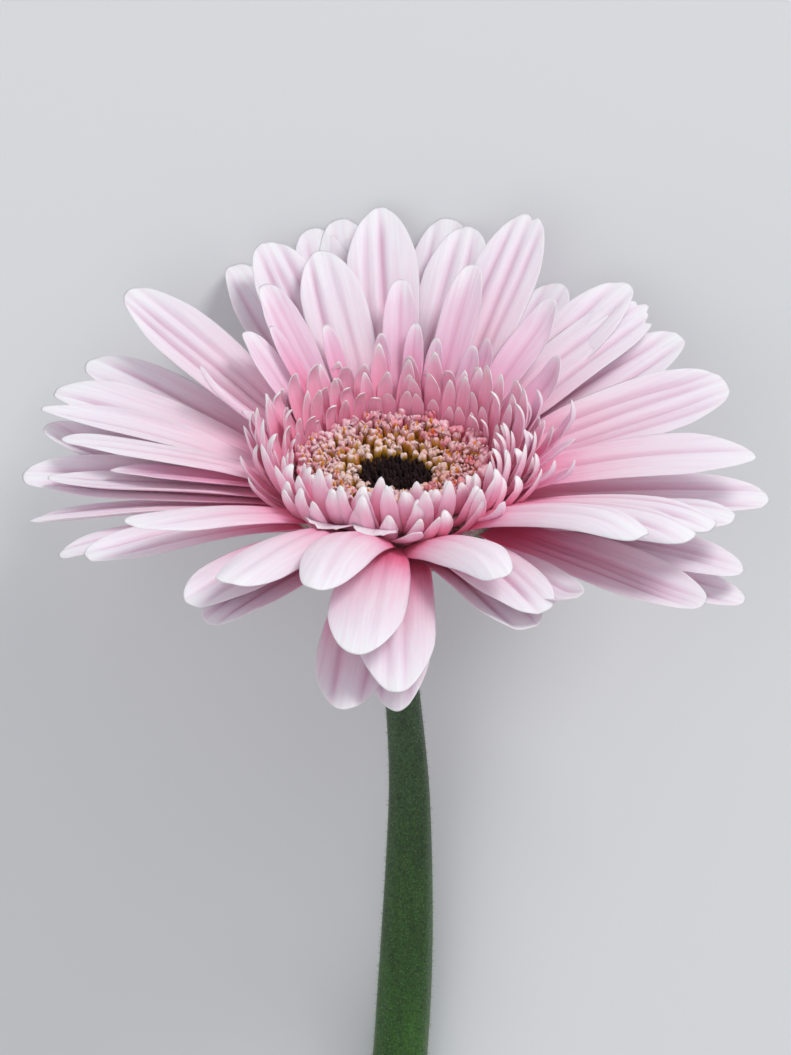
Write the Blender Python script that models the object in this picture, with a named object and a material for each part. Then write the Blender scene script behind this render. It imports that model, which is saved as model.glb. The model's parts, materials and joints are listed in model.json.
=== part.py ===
"""A cut gerbera daisy, lying on a table with its face turned up and forward.

Metres, +Z up. The stem lies along -Y and the head is at +Y. The head stands on the tips of its
lowest petals, and the stem comes down from the neck in one arc and then lies along the table.
"""

import math

import bmesh
import bpy
from mathutils import Vector

MM = 0.001

# Where the head is and how it is turned
FACE_TILT = math.radians(30)  # how far the face looks up from level
HEAD = Vector((0.0, 106.64, 38.9)) * MM  # middle of the whorl of petals
AXIS = Vector((0, math.cos(FACE_TILT), math.sin(FACE_TILT)))  # straight out of the face

# Stem, which botanists call the scape, with the receptacle that it widens into
STEM_REACH = 258 * MM  # from the middle of the head back to the cut end
NECK_DEPTH = 13 * MM  # from the middle of the head down to the neck
NECK_RADIUS = 2.6 * MM
STEM_RADIUS = 4.25 * MM
CUT_END_RADIUS = 4.6 * MM
THINS_FROM = 84 * MM  # the stem thins from here up to the neck
THINS_TO = 24 * MM
SIDE_BEND = 2.2 * MM  # the stem leans this far to the right before it swings left
SIDE_BEND_AT = 50 * MM
SIDE_SWING = 0.00092 / MM
SWING_ENDS = 110 * MM
RECEPTACLE_WALL = (  # height above the middle of the whorl and radius, in mm
    (-11.5, 3.3), (-10.2, 4.6), (-8.8, 7.2), (-7.4, 9.9), (-6.0, 12.3), (-4.6, 14.3),
    (-3.2, 15.4), (-1.6, 15.9), (0.2, 16.1), (2.2, 16.0),
)
RECEPTACLE_DISH = ((2.2, 15.2), (0.8, 14.6))  # the shallow hollow that the disc sits in
STEM_SIDES = 16

# Gaps and thicknesses
SAME_PLACE = 0.05 * MM  # vertices nearer than this are one
SEAT_GAP = 0.45 * MM  # from the receptacle's wall to the middle of a petal's end
PETAL_THICK = 0.5 * MM
INNER_THICK = 0.45 * MM

# Outer petals, the large rays. One row each: name, bearing, rise, length, width, seat, curl, roll.
# Bearing is the way it points, in degrees: 0 is up to the sky, 90 to the right, 180 down to the
# table and -90 to the left. Rise is its slope above the plane of the whorl, curl how far it turns
# up between seat and tip, and roll how far its left edge (seen from its seat) lifts, in degrees.
# Length, width and seat, the height on the receptacle's wall, are in mm.
OUTER_PETALS = (
    ("petal_01", -177.5, 30.5, 42.5, 11.6, 0.4, -8, 0),
    ("petal_02", -171.0, 27.8, 45.0, 11.0, -2.8, -6, 0),
    ("petal_03", -165.5, 27.5, 44.2, 11.0, -0.8, -6, 0),
    ("petal_04", -164.5, 33, 33.0, 10.4, 1.2, -6, -4),
    ("petal_05", -156.5, 27.4, 39.0, 10.6, 0.6, -10, 0),
    ("petal_06", -153.3, 18.3, 43.1, 10.6, -1.6, -6, 0),
    ("petal_07", -131.0, 18, 41.5, 10.4, 0.2, -8, -14),
    ("petal_08", -122.0, 14, 41.6, 10.4, -2.6, -8, -4),
    ("petal_09", -110.5, 12, 40.0, 10.8, -1.5, -10, -4),
    ("petal_10", -101.5, 12, 39.0, 8.0, -1.0, -24, 8),
    ("petal_11", -99.5, 11.3, 38.5, 10.0, -3.2, -4, -8),
    ("petal_12", -91.5, 13, 33.5, 10.4, 1.3, -12, -6),
    ("petal_13", -87.0, 7, 39.0, 10.8, -1.4, -14, -6),
    ("petal_14", -83.0, 7.4, 35.0, 7.0, 0.1, -4, 8),
    ("petal_15", -78.0, 5, 39.0, 9.6, -2.8, -22, 18),
    ("petal_16", -68.0, 5.5, 36.5, 9.4, -3.0, -14, 10),
    ("petal_17", -60.0, 6, 34.5, 10.0, -1.4, -22, 4),
    ("petal_18", -52.0, 16, 33.0, 9.8, 0.8, -20, 6),
    ("petal_19", -36.0, 10, 33.0, 10.6, -1.2, -18, 0),
    ("petal_20", -32.5, 9, 32.5, 9.6, -3.0, -14, 0),
    ("petal_21", -28.0, 20, 37.0, 11.0, 0.9, -26, 0),
    ("petal_22", -10.5, 18, 37.0, 10.4, 0.6, -44, -6),
    ("petal_23", -7.2, -2.6, 40.0, 10.8, -2.2, -14, 0),
    ("petal_24", -4.5, 8, 40.0, 11.0, -0.6, -24, 0),
    ("petal_25", 1.0, 3, 41.0, 11.2, -1.6, -22, 0),
    ("petal_26", 0.2, 0, 39.5, 10.2, -4.4, -14, 0),
    ("petal_27", 17.5, 19, 35.0, 10.2, 0.9, -28, 4),
    ("petal_28", 22.0, 9, 34.0, 10.0, -2.2, -20, 0),
    ("petal_29", 24.5, 12, 34.0, 10.4, -0.6, -24, 0),
    ("petal_30", 31.0, 12, 34.0, 9.8, -1.6, -18, 0),
    ("petal_31", 45.5, 20, 33.8, 10.4, 1.1, -24, -4),
    ("petal_32", 55.0, -1, 36.8, 11.2, -1.8, -14, 2),
    ("petal_33", 56.0, 13.2, 35.0, 10.4, 0.8, -22, -2),
    ("petal_34", 63.5, 12, 35.0, 10.0, 0.2, -18, 0),
    ("petal_35", 67.0, -4, 40.0, 9.4, -4.4, -10, 4),
    ("petal_36", 69.0, 0, 38.0, 10.6, -3.0, -16, 2),
    ("petal_37", 71.5, 11.4, 36.0, 10.2, -2.4, -6, 2),
    ("petal_38", 85.0, 4, 39.0, 10.6, -2.2, -6, 6),
    ("petal_39", 86.0, 4.3, 37.4, 11.0, 1.2, -8, -2),
    ("petal_40", 109.5, 11, 38.4, 12.4, 0.9, -10, 18),
    ("petal_41", 126.0, 14, 40.6, 11.2, -1.6, -8, 6),
    ("petal_42", 132.0, 15.5, 40.5, 11.6, 1.1, -14, 6),
    ("petal_43", 138.5, 18, 42.0, 11.0, -0.6, -4, 4),
    ("petal_44", 152.0, 15.2, 41.4, 11.0, -1.8, -6, 0),
    ("petal_45", 155.0, 33.5, 41.0, 11.2, 0.6, -8, 4),
    ("petal_46", 167.0, 28, 40.0, 11.0, 0.3, -8, 0),
    ("petal_47", 171.2, 26.1, 43.9, 11.0, -1.4, -6, 0),
)

# Inner petals, the larger ones of the second whorl, in the same columns
INNER_PETALS = (
    ("inner_petal_01", -148.0, 37, 28.0, 6.4, 1.7, -6, -4),
    ("inner_petal_02", -136.5, 37, 21.0, 5.4, 1.2, -6, 4),
    ("inner_petal_03", -120.0, 26, 21.0, 3.6, 1.9, 14, 20),
    ("inner_petal_04", -84.0, 10, 26.0, 4.6, 1.0, -6, 0),
    ("inner_petal_05", 178.5, 42, 24.0, 5.6, 1.7, -6, 0),
    ("inner_petal_06", 160.6, 42, 27.5, 6.4, 1.7, -6, 0),
    ("inner_petal_07", 140.5, 30.5, 26.5, 6.2, 1.7, -14, 8),
    ("inner_petal_08", 124.0, 37, 18.2, 5.2, 1.7, 24, 0),
)

# Blade shape shared by every petal
CLAW = 0.2  # width of the narrow end at the seat, as a share of the full width
WIDEST = 0.62  # where along its length a petal is widest
SWELL = 1.2  # how late it widens: 1 is a plain sine
TIP_END = 0.985  # where the blunt tip is cut off
CUP = 0.1  # how far the edges turn, as a share of half the width
TWIST_OVER = 0.35  # the roll comes in over this share of the length
TIP_CROWDING = 1.3  # how far the rows of faces crowd towards the tip: 1 is evenly spaced

# Ring of small inner florets that stand round the disc
CROWN_FLORETS = 30
CROWN_PROFILE = (  # radius and height in mm, up the outside and down the inside
    (16.3, 2.6), (18.2, 5.2), (19.8, 8.2), (20.7, 11.8), (19.6, 12.8), (18.2, 9.8),
    (16.6, 6.8), (15.1, 4.8), (15.0, 2.6),
)
CROWN_TIPS = (3, 4)  # the points of that profile that rise and dip from floret to floret
CROWN_DIP = 1.6 * MM
CROWN_FLUTE = 0.35 * MM

# Disc of small tube florets, and the dark buds in its middle
DISC_PROFILE = (  # radius and height in mm, from the rim of the eye out and under
    (6.2, 2.4), (8.6, 3.2), (11.2, 4.0), (13.2, 4.5), (14.2, 3.8), (14.2, 1.1), (6.2, 1.1),
)
EYE_PROFILE = ((0.0, 2.4), (3.2, 2.6), (5.2, 2.6), (5.8, 2.1), (5.8, 1.1), (0.0, 1.1))

# Green bracts that wrap the receptacle
BRACTS = 22
BRACT_PROFILE = (  # height and radius in mm, up the inside and down the outside
    (-11.2, 4.3), (-9.6, 6.6), (-8.2, 9.2), (-6.8, 11.7), (-5.6, 13.7), (-5.0, 15.6),
    (-6.2, 15.0), (-8.0, 12.2), (-9.6, 9.4), (-11.0, 6.8), (-12.4, 4.4),
)
BRACT_TIPS = (4, 5, 6)
BRACT_DIP = 1.4 * MM
BRACT_LEAN = 0.8  # how far a bract's tip leans in, as a share of its dip


def material(name, colour, roughness):
    """A Principled finish with a plain colour."""
    made = bpy.data.materials.new(name)
    made.use_nodes = True
    shader = made.node_tree.nodes["Principled BSDF"]
    shader.inputs["Base Color"].default_value = (*colour, 1)
    shader.inputs["Roughness"].default_value = roughness
    shader.inputs["Metallic"].default_value = 0
    return made


def add_object(name, data, finish, parent=None):
    made = bpy.data.objects.new(name, data)
    bpy.context.scene.collection.objects.link(made)
    data.materials.append(finish)
    made.parent = parent
    return made


def along(table, at):
    """Straight-line reading of a table of (position, value) pairs."""
    for (p0, v0), (p1, v1) in zip(table, table[1:]):
        if at <= p1:
            return v0 + (v1 - v0) * (at - p0) / (p1 - p0)
    return table[-1][1]


def ease(share):
    share = min(1, max(0, share))
    return share * share * (3 - 2 * share)


# Stem and receptacle

def stem_radius(back):
    """Radius of the stem at a distance behind the middle of the head."""
    if back < THINS_FROM:
        share = ease((back - THINS_TO) / (THINS_FROM - THINS_TO))
        return NECK_RADIUS + (STEM_RADIUS - NECK_RADIUS) * share
    share = (back - THINS_FROM) / (STEM_REACH - THINS_FROM)
    return STEM_RADIUS + (CUT_END_RADIUS - STEM_RADIUS) * share


def stem_side(back):
    """How far the stem's middle is to the right of the head's middle."""
    if back < SIDE_BEND_AT:
        return SIDE_BEND * ease((back - NECK_DEPTH) / (SIDE_BEND_AT - NECK_DEPTH))
    curved = min(back, SWING_ENDS) - SIDE_BEND_AT
    straight = max(0, back - SWING_ENDS)
    slope = 2 * SIDE_SWING * (SWING_ENDS - SIDE_BEND_AT)
    return SIDE_BEND - SIDE_SWING * curved ** 2 - slope * straight


def stem_points():
    """Points and radii from the cut end up to the neck: along the table, then up one arc."""
    neck = HEAD - AXIS * NECK_DEPTH
    drop = neck.z - STEM_RADIUS
    arc_radius = drop / (1 - math.cos(FACE_TILT))
    arc_run = arc_radius * math.sin(FACE_TILT)
    neck_back = HEAD.y - neck.y
    flat_steps, arc_steps = 5, 12
    points = []
    for i in range(flat_steps):
        back = STEM_REACH + (neck_back + arc_run - STEM_REACH) * i / flat_steps
        points.append((back, stem_radius(back)))
    start = points[-1][1]
    for i in range(arc_steps):
        angle = FACE_TILT * i / arc_steps
        back = neck_back + arc_run - arc_radius * math.sin(angle)
        points.append((back, start + arc_radius * (1 - math.cos(angle))))
    return [
        (Vector((HEAD.x + stem_side(back), HEAD.y - back, height)), stem_radius(back))
        for back, height in points
    ]


def make_stem(finish):
    """One skin over rings of vertices, from the cut end to the dish of the receptacle."""
    line = stem_points()
    rings = []
    for i, (place, radius) in enumerate(line):
        ahead = line[i + 1][0] if i + 1 < len(line) else HEAD
        behind = line[i - 1][0] if i else place
        rings.append((place, ahead - behind, radius))
    rings += [(HEAD + AXIS * h * MM, AXIS, r * MM) for h, r in RECEPTACLE_WALL + RECEPTACLE_DISH]
    shape = bmesh.new()
    loops = []
    for place, direction, radius in rings:
        turn = Vector((0, 1, 0)).rotation_difference(direction)
        angles = [2 * math.pi * k / STEM_SIDES for k in range(STEM_SIDES)]
        ring = [Vector((math.sin(a), 0, math.cos(a))) * radius for a in angles]
        loops.append([shape.verts.new(place + turn @ corner) for corner in ring])
    for low, high in zip(loops, loops[1:]):
        for k in range(STEM_SIDES):
            shape.faces.new((low[k - 1], low[k], high[k], high[k - 1]))
    shape.faces.new(loops[0])
    shape.faces.new(loops[-1])
    bmesh.ops.recalc_face_normals(shape, faces=shape.faces)
    mesh = bpy.data.meshes.new("stem")
    shape.to_mesh(mesh)
    shape.free()
    mesh.shade_smooth()
    mesh.set_sharp_from_angle(angle=math.radians(40))
    return add_object("stem", mesh, finish)


# Petals

def blade_half_width(s):
    """Half of a petal's width at a share s of its length, as a share of its widest half."""
    if s < WIDEST:
        return CLAW + (1 - CLAW) * math.sin(0.5 * math.pi * s / WIDEST) ** SWELL
    return math.sqrt(max(0, 1 - ((s - WIDEST) / (1 - WIDEST)) ** 2))


def blade_point(s, v, length, width, rise, curl, roll):
    """A point of a petal's middle sheet in its own frame: X outward, Z out of the face."""
    start = rise - curl / 2
    turn = curl if abs(curl) > 1e-4 else 1e-4
    angle = start + turn * s
    x = length / turn * (math.sin(angle) - math.sin(start))
    z = length / turn * (math.cos(start) - math.cos(angle))
    half = 0.5 * width * blade_half_width(s)
    lean = roll * ease(s / TWIST_OVER)
    across = v * half * math.cos(lean)
    lift = v * half * math.sin(lean) + CUP * half * (v * v - 0.5)
    return Vector((x - lift * math.sin(angle), across, z + lift * math.cos(angle)))


def make_petal(row, thick, steps_along, steps_across, finish, head):
    name, bearing, rise, length, width, seat, curl, roll = row
    shape = bmesh.new()
    bmesh.ops.create_grid(shape, x_segments=steps_along, y_segments=steps_across, size=1)
    for corner in shape.verts:
        share = (corner.co.x + 1) / 2
        s = TIP_END * (1 - (1 - share) ** TIP_CROWDING)
        corner.co = blade_point(
            s, corner.co.y, length * MM, width * MM,
            math.radians(rise), math.radians(curl), math.radians(roll),
        )
    mesh = bpy.data.meshes.new(name)
    shape.to_mesh(mesh)
    shape.free()
    mesh.shade_smooth()
    petal = add_object(name, mesh, finish, head)
    radius = along(RECEPTACLE_WALL, seat) * MM + SEAT_GAP
    out = math.radians(bearing)
    petal.location = (radius * math.sin(out), -radius * math.cos(out), seat * MM)
    petal.rotation_euler.z = out - math.pi / 2
    solid = petal.modifiers.new("thickness", "SOLIDIFY")
    solid.thickness = thick
    solid.offset = 0
    return petal


# Turned pieces of the head

def turned(name, profile, steps, finish, head, shift=None):
    """A closed profile of (radius, height) turned round the head's axis. shift moves each
    vertex by its place in the profile and round the axis."""
    shape = bmesh.new()
    loop = [shape.verts.new((r * MM, 0, h * MM)) for r, h in profile]
    edges = [shape.edges.new(pair) for pair in zip(loop, loop[1:] + loop[:1])]
    bmesh.ops.spin(
        shape, geom=loop + edges, cent=(0, 0, 0), axis=(0, 0, 1),
        angle=2 * math.pi, steps=steps, use_merge=True, use_duplicate=False,
    )
    bmesh.ops.remove_doubles(shape, verts=shape.verts, dist=SAME_PLACE)
    bmesh.ops.dissolve_degenerate(shape, edges=shape.edges, dist=SAME_PLACE)
    if shift:
        for corner in shape.verts:
            shift(corner)
    bmesh.ops.recalc_face_normals(shape, faces=shape.faces)
    mesh = bpy.data.meshes.new(name)
    shape.to_mesh(mesh)
    shape.free()
    return add_object(name, mesh, finish, head)


def near(corner, profile, index):
    """True where a turned vertex came from that point of the profile."""
    radius, height = profile[index]
    out = math.hypot(corner.co.x, corner.co.y)
    return math.hypot(out - radius * MM, corner.co.z - height * MM) < SAME_PLACE


def make_crown(finish, head):
    def shift(corner):
        turn = math.atan2(corner.co.y, corner.co.x) * CROWN_FLORETS
        if any(near(corner, CROWN_PROFILE, i) for i in CROWN_TIPS):
            corner.co.z -= CROWN_DIP * 0.5 * (1 - math.cos(turn))
        elif any(near(corner, CROWN_PROFILE, i) for i in (1, 2)):
            out = Vector((corner.co.x, corner.co.y, 0)).normalized()
            corner.co += out * CROWN_FLUTE * math.cos(turn)

    return turned("crown_florets", CROWN_PROFILE, 2 * CROWN_FLORETS, finish, head, shift)


def make_bracts(finish, head):
    profile = tuple((r, h) for h, r in BRACT_PROFILE)

    def shift(corner):
        turn = math.atan2(corner.co.y, corner.co.x) * BRACTS
        if any(near(corner, profile, i) for i in BRACT_TIPS):
            dip = BRACT_DIP * 0.5 * (1 - math.cos(turn))
            out = Vector((corner.co.x, corner.co.y, 0)).normalized()
            corner.co -= Vector((0, 0, dip)) + out * dip * BRACT_LEAN

    return turned("bracts", profile, 2 * BRACTS, finish, head, shift)


# The whole flower

for old in list(bpy.data.objects):
    bpy.data.objects.remove(old)

petal_pink = material("petal_pink", (0.86, 0.62, 0.70), 0.55)
inner_pink = material("inner_pink", (0.84, 0.42, 0.54), 0.55)
crown_pink = material("crown_pink", (0.83, 0.45, 0.56), 0.5)
disc_gold = material("disc_gold", (0.62, 0.42, 0.20), 0.6)
eye_brown = material("eye_brown", (0.04, 0.015, 0.02), 0.7)
stem_green = material("stem_green", (0.10, 0.21, 0.06), 0.65)
bract_green = material("bract_green", (0.09, 0.17, 0.05), 0.7)

head = bpy.data.objects.new("head", None)
bpy.context.scene.collection.objects.link(head)
head.location = HEAD
head.rotation_euler.x = FACE_TILT - math.pi / 2

make_stem(stem_green)
make_bracts(bract_green, head)
for row in OUTER_PETALS:
    make_petal(row, PETAL_THICK, 7, 4, petal_pink, head)
for row in INNER_PETALS:
    make_petal(row, INNER_THICK, 5, 2, inner_pink, head)
make_crown(crown_pink, head)
turned("disc_florets", DISC_PROFILE, 30, disc_gold, head)
turned("eye_buds", EYE_PROFILE, 20, eye_brown, head)
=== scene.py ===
"""Looks of a cut gerbera daisy that lies on a pale table, seen from straight above.

Metres. +X is right, +Y up the picture and +Z from the table to the camera. The head's own frame
has +Z straight out of the face. A bearing of 0 points from the middle of the head up to the sky,
90 to the right, 180 down to the table and -90 to the left.
"""

import json
import math

import bpy
import numpy as np
from mathutils import Matrix, Vector

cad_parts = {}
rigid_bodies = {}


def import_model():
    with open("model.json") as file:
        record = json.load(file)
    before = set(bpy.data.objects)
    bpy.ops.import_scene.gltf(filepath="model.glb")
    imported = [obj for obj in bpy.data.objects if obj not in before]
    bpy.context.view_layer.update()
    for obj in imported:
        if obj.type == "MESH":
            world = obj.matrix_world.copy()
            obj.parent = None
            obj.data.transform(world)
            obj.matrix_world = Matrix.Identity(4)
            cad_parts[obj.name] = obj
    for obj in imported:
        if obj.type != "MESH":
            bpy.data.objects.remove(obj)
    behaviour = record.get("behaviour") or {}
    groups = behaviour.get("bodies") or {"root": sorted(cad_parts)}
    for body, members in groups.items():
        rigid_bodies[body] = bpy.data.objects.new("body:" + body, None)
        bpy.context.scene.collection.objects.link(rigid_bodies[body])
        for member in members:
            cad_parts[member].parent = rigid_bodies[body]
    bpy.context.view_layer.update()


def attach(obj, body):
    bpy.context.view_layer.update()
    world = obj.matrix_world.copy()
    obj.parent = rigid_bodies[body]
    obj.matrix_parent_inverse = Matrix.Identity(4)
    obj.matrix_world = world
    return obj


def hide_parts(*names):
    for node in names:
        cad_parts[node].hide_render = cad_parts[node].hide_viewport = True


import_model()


# Camera
# A still camera on a stand, straight above the flower, with its picture plane level.

MM = 0.001
HEAD = Vector((0, 106.64, 38.9)) * MM  # middle of the whorl of petals
PICTURE_MIDDLE = Vector((0.07, -6.02, 0)) * MM  # as seen from the head
CAMERA_ABOVE_HEAD = 500 * MM
FRAME_HEIGHT_AT_HEAD = 156.76 * MM  # what the long side of the picture takes in at the head
SENSOR = 36.0

camera = bpy.data.objects.new("camera", bpy.data.cameras.new("camera"))
camera.location = HEAD + PICTURE_MIDDLE + Vector((0, 0, CAMERA_ABOVE_HEAD))
camera.data.sensor_width = SENSOR
camera.data.lens = SENSOR * CAMERA_ABOVE_HEAD / FRAME_HEIGHT_AT_HEAD
bpy.context.scene.collection.objects.link(camera)
bpy.context.scene.camera = camera


# Table and light
# A matt pale grey board. One large soft lamp stands beyond the head on the right, a weak wide one
# beside the camera opens the shadows, and the room is pale.


def linear(code):
    """A colour as the shaders take it, from an sRGB hex code."""
    parts = [int(code[i:i + 2], 16) / 255 for i in (1, 3, 5)]
    return tuple(c / 12.92 if c <= 0.04045 else ((c + 0.055) / 1.055) ** 2.4 for c in parts) + (1,)


def finish(name, **values):
    """A new finish: its material, its node tree and its shader."""
    made = bpy.data.materials.new(name)
    made.use_nodes = True
    shader = made.node_tree.nodes["Principled BSDF"]
    for socket, value in values.items():
        shader.inputs[socket.replace("_", " ")].default_value = value
    return made, made.node_tree, shader


FLOOR_HALF = 3.0
CORNERS = ((-1, -1), (1, -1), (1, 1), (-1, 1))
# Painted board: an even pale grey, matt, so that it takes soft shadows and no reflections
board, tree, shader = finish("painted_board", Roughness=0.8, Base_Color=linear("#e4e6e8"))
floor_mesh = bpy.data.meshes.new("floor")
floor_mesh.from_pydata([(x * FLOOR_HALF, y * FLOOR_HALF, 0) for x, y in CORNERS], [], [(0, 1, 2, 3)])
floor_mesh.materials.append(board)
floor = bpy.data.objects.new("floor", floor_mesh)
bpy.context.scene.collection.objects.link(floor)

LAMPS = (  # name, direction it shines from, watts, size in metres
    ("key", (0.5, 0.74, 0.45), 20.0, 0.8),
    ("fill", (-0.25, -0.25, 0.93), 9.0, 1.8),
)
LAMP_DISTANCE = 2.0
ROOM_STRENGTH = 0.55
for name, direction, watts, size in LAMPS:
    lamp = bpy.data.objects.new(name, bpy.data.lights.new(name, "AREA"))
    lamp.data.energy = watts
    lamp.data.size = size
    lamp.location = HEAD + Vector(direction).normalized() * LAMP_DISTANCE
    lamp.rotation_euler = Vector(direction).to_track_quat("Z", "Y").to_euler()
    bpy.context.scene.collection.objects.link(lamp)
world = bpy.data.worlds.new("room")
world.use_nodes = True
room = world.node_tree.nodes["Background"].inputs
room["Color"].default_value = linear("#eceef2")
room["Strength"].default_value = ROOM_STRENGTH
bpy.context.scene.world = world
bpy.context.scene.view_settings.view_transform = "Standard"


# Stem and receptacle
# A gerbera's leafless stem, soft green living tissue with faint ribs, cut off square at the end.
# It comes down from the neck in an arc, lies along the table, and widens into the receptacle
# that carries the whole head. It grew as one piece.

FACE_TILT = math.radians(30)
AXIS = Vector((0, math.cos(FACE_TILT), math.sin(FACE_TILT)))  # straight out of the face
HEAD_PLACE = Matrix.Translation(HEAD) @ Matrix.Rotation(FACE_TILT - math.pi / 2, 4, "X")
STEM_REACH = 258.0  # from the middle of the head back to the cut end, in mm like the rest here
NECK_DEPTH = 13.0
NECK_RADIUS = 2.6
STEM_RADIUS = 4.25
CUT_END_RADIUS = 4.6
THINS_FROM = 84.0
THINS_TO = 24.0
SIDE_BEND = 2.2
SIDE_BEND_AT = 50.0
SIDE_SWING = 0.00092
SWING_ENDS = 110.0
RECEPTACLE_WALL = (  # height above the middle of the whorl and radius
    (-11.5, 3.3), (-10.2, 4.6), (-8.8, 7.2), (-7.4, 9.9), (-6.0, 12.3), (-4.6, 14.3),
    (-3.2, 15.4), (-1.6, 15.9), (0.2, 16.1), (2.2, 16.0), (2.2, 15.2), (0.9, 14.6), (0.8, 9.0),
    (0.8, 3.0),
)
CUT_FACE = ((0.62, -0.3), (0.84, 0.0), (0.97, 0.05))  # share of the radius, and depth
CUT_EDGE = 0.12  # how far the rim of the cut is rounded
PINK_ABOVE = -3.0  # from this height up the wall is the pale pink of the petals' claws
ON_CUT, ON_STEM, ON_GREEN_WALL, ON_PINK_WALL = 0.0, 1.0, 2.3, 3.0  # marks for the material
STEM_SIDES = 40
STEM_RINGS = 170
RIBS = 9
BULGES = 4
RIB_HEIGHT = 0.012  # as a share of the radius
RIBS_FADE = 25  # rings that the ribs take to die out below the neck


def ease(share):
    share = np.clip(share, 0, 1)
    return share * share * (3 - 2 * share)


def stem_radius(back):
    thin = NECK_RADIUS + (STEM_RADIUS - NECK_RADIUS) * ease((back - THINS_TO) / (THINS_FROM - THINS_TO))
    thick = (CUT_END_RADIUS - STEM_RADIUS) * np.clip((back - THINS_FROM) / (STEM_REACH - THINS_FROM), 0, 1)
    return thin + thick


def stem_side(back):
    lean = SIDE_BEND * ease((back - NECK_DEPTH) / (SIDE_BEND_AT - NECK_DEPTH))
    curved = np.clip(back, SIDE_BEND_AT, SWING_ENDS) - SIDE_BEND_AT
    straight = max(0, back - SWING_ENDS)
    return lean - SIDE_SWING * (curved ** 2 + 2 * (SWING_ENDS - SIDE_BEND_AT) * straight)


def stem_line():
    """Middle points in the row frame and radii, in mm, from the cut end up to the neck."""
    neck = HEAD / MM - AXIS * NECK_DEPTH
    neck_back = HEAD.y / MM - neck.y
    arc_radius = (neck.z - STEM_RADIUS) / (1 - math.cos(FACE_TILT))
    arc_run = arc_radius * math.sin(FACE_TILT)
    middles, radii = [], []
    for back in np.linspace(STEM_REACH, neck_back, STEM_RINGS):
        radius = stem_radius(back)
        height = stem_radius(max(back, neck_back + arc_run))
        over = (neck_back + arc_run - back) / arc_radius
        if over > 0:
            height += arc_radius * (1 - math.sqrt(1 - over * over))
        middles.append((HEAD.x / MM + stem_side(back), HEAD.y / MM - back, height))
        radii.append(radius)
    return np.array(middles), np.array(radii)


def loft(rings):
    """Vertices and faces of a closed skin over rings of the same number of points."""
    count = len(rings[0])
    verts = [tuple(p) for ring in rings for p in ring]
    faces = []
    for low in range(0, (len(rings) - 1) * count, count):
        for k in range(count):
            after = (k + 1) % count
            faces.append((low + k, low + after, low + count + after, low + count + k))
    for start, turned in ((0, -1), ((len(rings) - 1) * count, 1)):
        verts.append(tuple(np.mean(verts[start:start + count], axis=0)))
        for k in range(count):
            edge = (start + k, start + (k + 1) % count)
            faces.append((*edge[::turned], len(verts) - 1))
    return np.array(verts), faces


def make_piece(name, verts, faces, material, **attributes):
    """A smooth mesh object in metres, with vector attributes for its material."""
    mesh = bpy.data.meshes.new(name)
    mesh.from_pydata(np.asarray(verts, float).tolist(), [], [list(map(int, f)) for f in faces])
    for key, values in attributes.items():
        layer = mesh.attributes.new(key, "FLOAT_VECTOR", "POINT")
        layer.data.foreach_set("vector", np.asarray(values, np.float32).ravel())
    mesh.shade_smooth()
    if material:
        mesh.materials.append(material)
    made = bpy.data.objects.new(name, mesh)
    bpy.context.scene.collection.objects.link(made)
    return made


middles, radii = stem_line()
turns = np.linspace(0, 2 * math.pi, STEM_SIDES, endpoint=False)
ribbed = 1 + RIB_HEIGHT * np.cos(RIBS * turns) + RIB_HEIGHT * np.cos(BULGES * turns + 1.0)
rings, ring_marks = [], []
directions = np.gradient(middles, axis=0)
directions[-1] = np.array(AXIS)
for share, depth in CUT_FACE:
    ring = np.stack((np.cos(turns), 0 * turns, -np.sin(turns)), -1) * radii[0] * share
    rings.append(middles[0] + ring + np.array((0, CUT_EDGE - depth, 0)))
    ring_marks.append(ON_CUT)
for i, (middle, direction, radius) in enumerate(zip(middles, directions, radii)):
    ahead = direction / np.linalg.norm(direction)
    right = np.cross(ahead, (0, 0, 1))
    right /= np.linalg.norm(right)
    up = np.cross(right, ahead)
    fade = 1 - ease((i - STEM_RINGS + RIBS_FADE) / RIBS_FADE)
    girth = radius * (1 + (ribbed - 1)[:, None] * fade)
    rings.append(middle + girth * (np.cos(turns)[:, None] * right - np.sin(turns)[:, None] * up))
    ring_marks.append(ON_STEM + i / STEM_RINGS)
to_head = np.array(HEAD_PLACE.to_3x3())
for height, radius in RECEPTACLE_WALL:
    ring = np.stack((np.cos(turns) * radius, np.sin(turns) * radius, 0 * turns + height), -1)
    rings.append(np.array(HEAD) / MM + ring @ to_head.T)
    ring_marks.append(ON_GREEN_WALL if height < PINK_ABOVE else ON_PINK_WALL)
verts, faces = loft(rings)
verts = np.maximum(verts, (-np.inf, -np.inf, 0.0))
marks = np.zeros((len(verts), 3))
marks[:len(rings) * STEM_SIDES, 0] = np.repeat(ring_marks, STEM_SIDES)
marks[-1, 0] = ON_PINK_WALL

MULTIPLIED = dict(data_type="RGBA", blend_type="MULTIPLY")


def out(source):
    """A node's first output in use. A socket or a plain value is given back as it is."""
    if isinstance(source, bpy.types.Node):
        return next(socket for socket in source.outputs if socket.enabled)
    return source


def add(tree, kind, inputs=None, **settings):
    """Adds a node. Inputs are nodes or sockets to link or plain values, by name or number."""
    node = tree.nodes.new(kind)
    stops = settings.pop("stops", ())
    for name, value in settings.items():
        setattr(node, name, value)
    for i, (place, colour) in enumerate(stops):
        elements = node.color_ramp.elements
        stop = elements[i] if i < len(elements) else elements.new(place)
        stop.position = place
        stop.color = linear(colour)
    for name, value in (inputs or {}).items():
        value = out(value)
        if isinstance(value, bpy.types.NodeSocket):
            tree.links.new(value, node.inputs[name])
        else:
            node.inputs[name].default_value = value
    return node


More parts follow.
